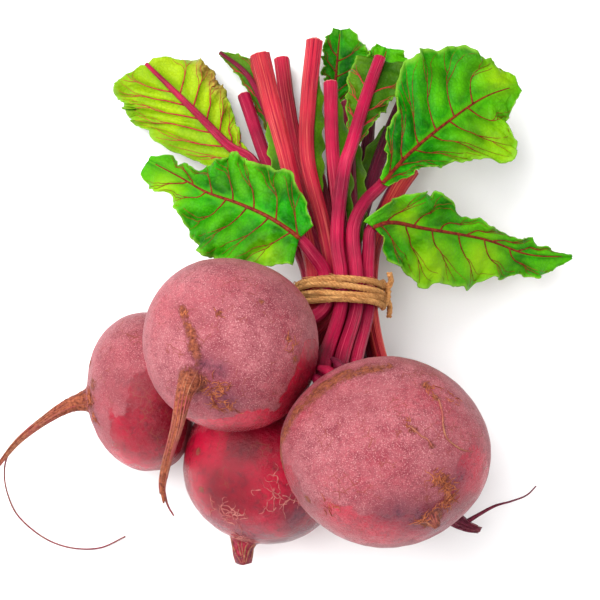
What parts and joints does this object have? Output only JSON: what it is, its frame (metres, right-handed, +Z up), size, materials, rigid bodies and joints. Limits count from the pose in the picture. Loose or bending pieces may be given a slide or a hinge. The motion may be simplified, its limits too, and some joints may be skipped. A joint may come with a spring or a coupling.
{
  "type": "beetroot",
  "caption": "Bunch of fresh beetroots with roots, cut red stalks and some leaves, tied with jute twine and lying on its side.",
  "frame": {"origin": "middle of the footprint, on the table", "axes": "+Z up off the table, +Y from the beets to the leaves, +X to the right seen from above"},
  "size_m": [0.2568, 0.2432, 0.1352],
  "materials": {
    "beet_skin": "dusty maroon skin, semi-matt, glossier and darker crimson where it is rubbed clean",
    "stalk": "moist magenta-red stalk with paler lengthwise ridges",
    "leaf_top": "bright green, slightly glossy, with thin dark-red veins",
    "leaf_under": "pale yellow-green, matt, with raised red veins",
    "twine": "twisted tan jute, matt and slightly hairy"
  },
  "bodies": {
    "root": {"beet_top_left": "beet_skin", "beet_left": "beet_skin", "beet_low": "beet_skin", "beet_right": "beet_skin", "beet_hidden": "beet_skin", "stalk_a": "stalk", "stalk_b": "stalk", "stalk_c": "stalk", "stalk_d": "stalk", "stalk_e": "stalk", "stalk_f": "stalk", "stalk_g": "stalk", "stalk_h": "stalk", "stalk_i": "stalk", "stalk_j": "stalk", "stalk_k": "stalk", "stalk_l": "stalk", "stalk_m": "stalk", "stalk_n": "stalk", "stalk_o": "stalk", "stalk_p": "stalk", "stalk_q": "stalk", "stalk_r": "stalk", "stalk_s": "stalk", "leaf_left_front": "leaf_top", "leaf_right_back": "leaf_top", "leaf_back_middle": "leaf_top", "leaf_back_right": "leaf_top", "leaf_right_front": "leaf_top", "leaf_middle": "leaf_under", "leaf_left_back": "leaf_under", "leaf_left_small": "leaf_under", "twine": "twine"}
  },
  "joints": []
}
